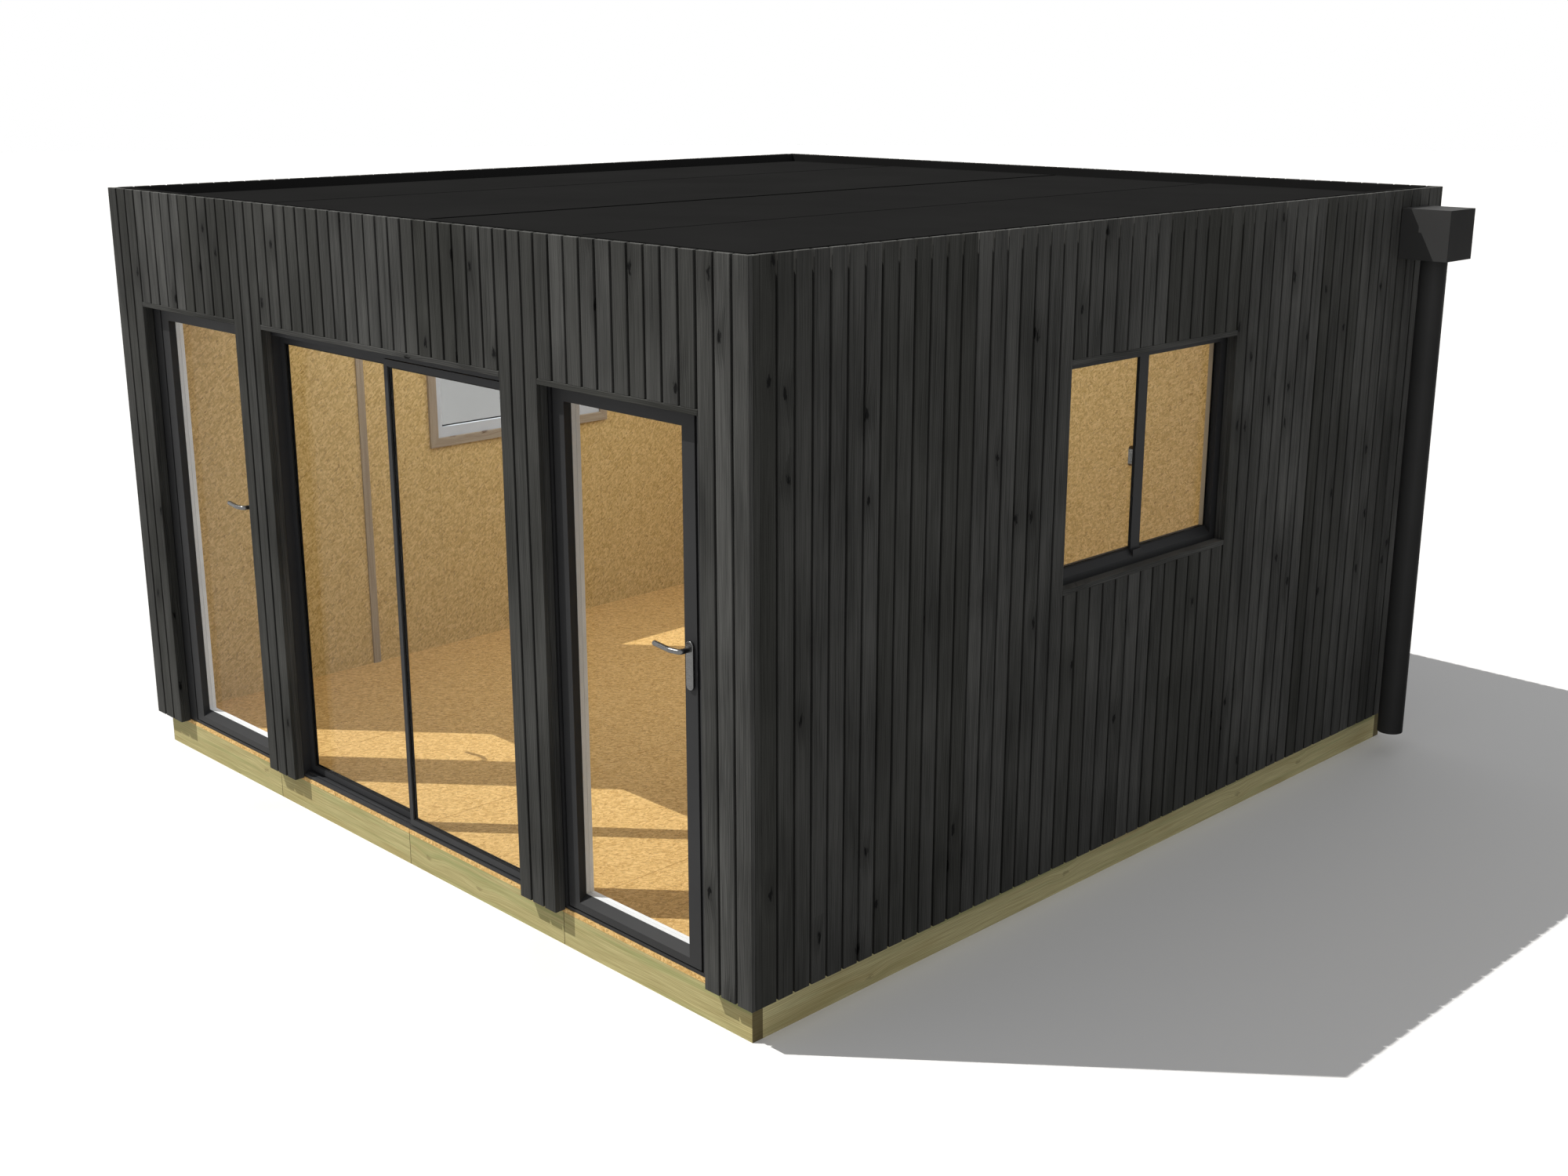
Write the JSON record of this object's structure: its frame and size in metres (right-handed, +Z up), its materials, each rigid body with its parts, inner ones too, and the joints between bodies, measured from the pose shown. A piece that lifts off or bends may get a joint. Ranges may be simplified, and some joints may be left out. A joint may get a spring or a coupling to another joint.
{
  "type": "garden annex",
  "caption": "Flat-roofed timber garden room with upright black board cladding, glazed doors, a sliding glass door, side windows, a timber base and a rain hopper with downpipe.",
  "frame": {"origin": "middle of the plan, at ground level, on the underside of the middle floor joist", "axes": "+X along the front wall to the right as seen from outside, the glazed front faces -Y, +Z up"},
  "size_m": [4.174, 4.1218, 2.5],
  "materials": {
    "treated_timber": "sawn",
    "strand_board": "matte",
    "black_timber": "sawn, stained black",
    "roof_sheet": "matte",
    "frame_profile": "satin",
    "clear_glass": "clear",
    "satin_steel": "satin",
    "pine": "planed",
    "rain_plastic": "satin"
  },
  "bodies": {
    "building": {"front_bearers": "treated_timber", "back_bearers": "treated_timber", "side_bearers": "treated_timber", "floor_joists": "treated_timber", "floor_deck": "strand_board", "front_wall_piers": "strand_board", "front_wall_header": "strand_board", "back_wall": "strand_board", "left_wall": "strand_board", "right_wall": "strand_board", "roof_deck": "strand_board", "front_cladding_piers": "black_timber", "front_cladding_heads": "black_timber", "back_cladding": "black_timber", "left_cladding": "black_timber", "right_cladding": "black_timber", "roof_membrane": "roof_sheet", "parapet_upstands": "roof_sheet", "left_door_frame": "frame_profile", "right_door_frame": "frame_profile", "slider_frame": "frame_profile", "fixed_leaf": "frame_profile", "left_window_frame": "frame_profile", "right_window_frame": "frame_profile", "fixed_leaf_glass": "clear_glass", "left_window_glass": "clear_glass", "right_window_glass": "clear_glass", "left_door_hinge_pins": "satin_steel", "right_door_hinge_pins": "satin_steel", "window_handles": "satin_steel", "window_trims": "pine", "left_wall_strip": "pine", "rain_hopper": "rain_plastic", "downpipe": "rain_plastic"},
    "left_door": {"left_door_leaf": "frame_profile", "left_door_glass": "clear_glass", "left_door_handles": "satin_steel", "left_door_hinge_knuckles": "satin_steel"},
    "right_door": {"right_door_leaf": "frame_profile", "right_door_glass": "clear_glass", "right_door_handles": "satin_steel", "right_door_hinge_knuckles": "satin_steel"},
    "sliding_door": {"sliding_leaf": "frame_profile", "sliding_leaf_glass": "clear_glass", "sliding_leaf_pulls": "satin_steel"}
  },
  "joints": [
    {"name": "left_door_hinge", "type": "hinge", "parent": "building", "child": "left_door", "pos_m": [-1.7205, -1.936, 1.1], "axis": [0, 0, 1], "range_deg": [0, 90]},
    {"name": "right_door_hinge", "type": "hinge", "parent": "building", "child": "right_door", "pos_m": [0.9675, -1.936, 1.1], "axis": [0, 0, 1], "range_deg": [0, 90]},
    {"name": "sliding_door_slide", "type": "slide", "parent": "building", "child": "sliding_door", "axis": [-1, 0, 0], "range_m": [0, 0.68]}
  ]
}
